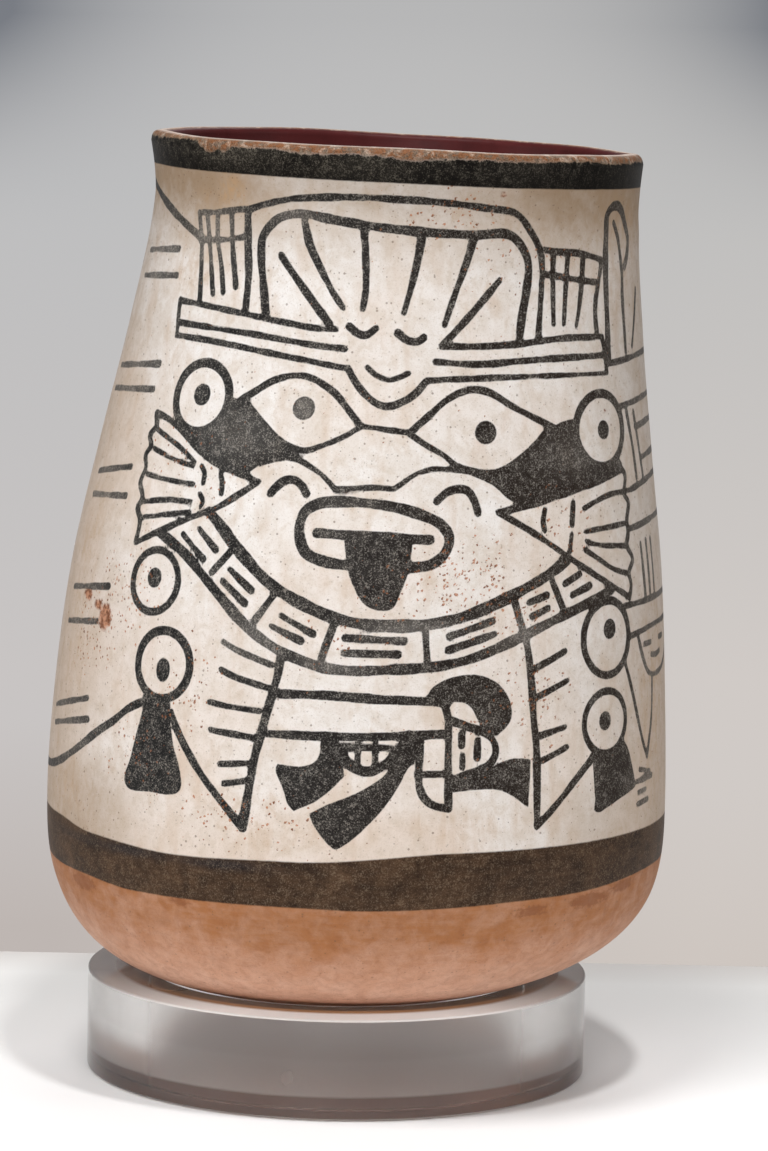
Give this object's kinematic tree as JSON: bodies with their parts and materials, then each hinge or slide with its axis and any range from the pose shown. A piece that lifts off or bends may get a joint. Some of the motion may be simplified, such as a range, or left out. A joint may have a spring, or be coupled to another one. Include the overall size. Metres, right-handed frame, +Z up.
{
  "type": "painted ceramic vase on a clear ring stand",
  "caption": "Hand-built ceramic vase with a rounded base, a waisted neck and a flaring lip, standing in a clear acrylic ring.",
  "frame": {"origin": "on the plane the ring stands on, straight below the middle of the vase's widest place", "axes": "+Z up, the painted front faces -Y, the neck leans towards +X"},
  "size_m": [0.1256, 0.1256, 0.1899],
  "materials": {
    "painted_clay": "satin",
    "clear_acrylic": "polished"
  },
  "bodies": {
    "root": {"vase": "painted_clay", "ring_stand": "clear_acrylic"}
  },
  "joints": []
}
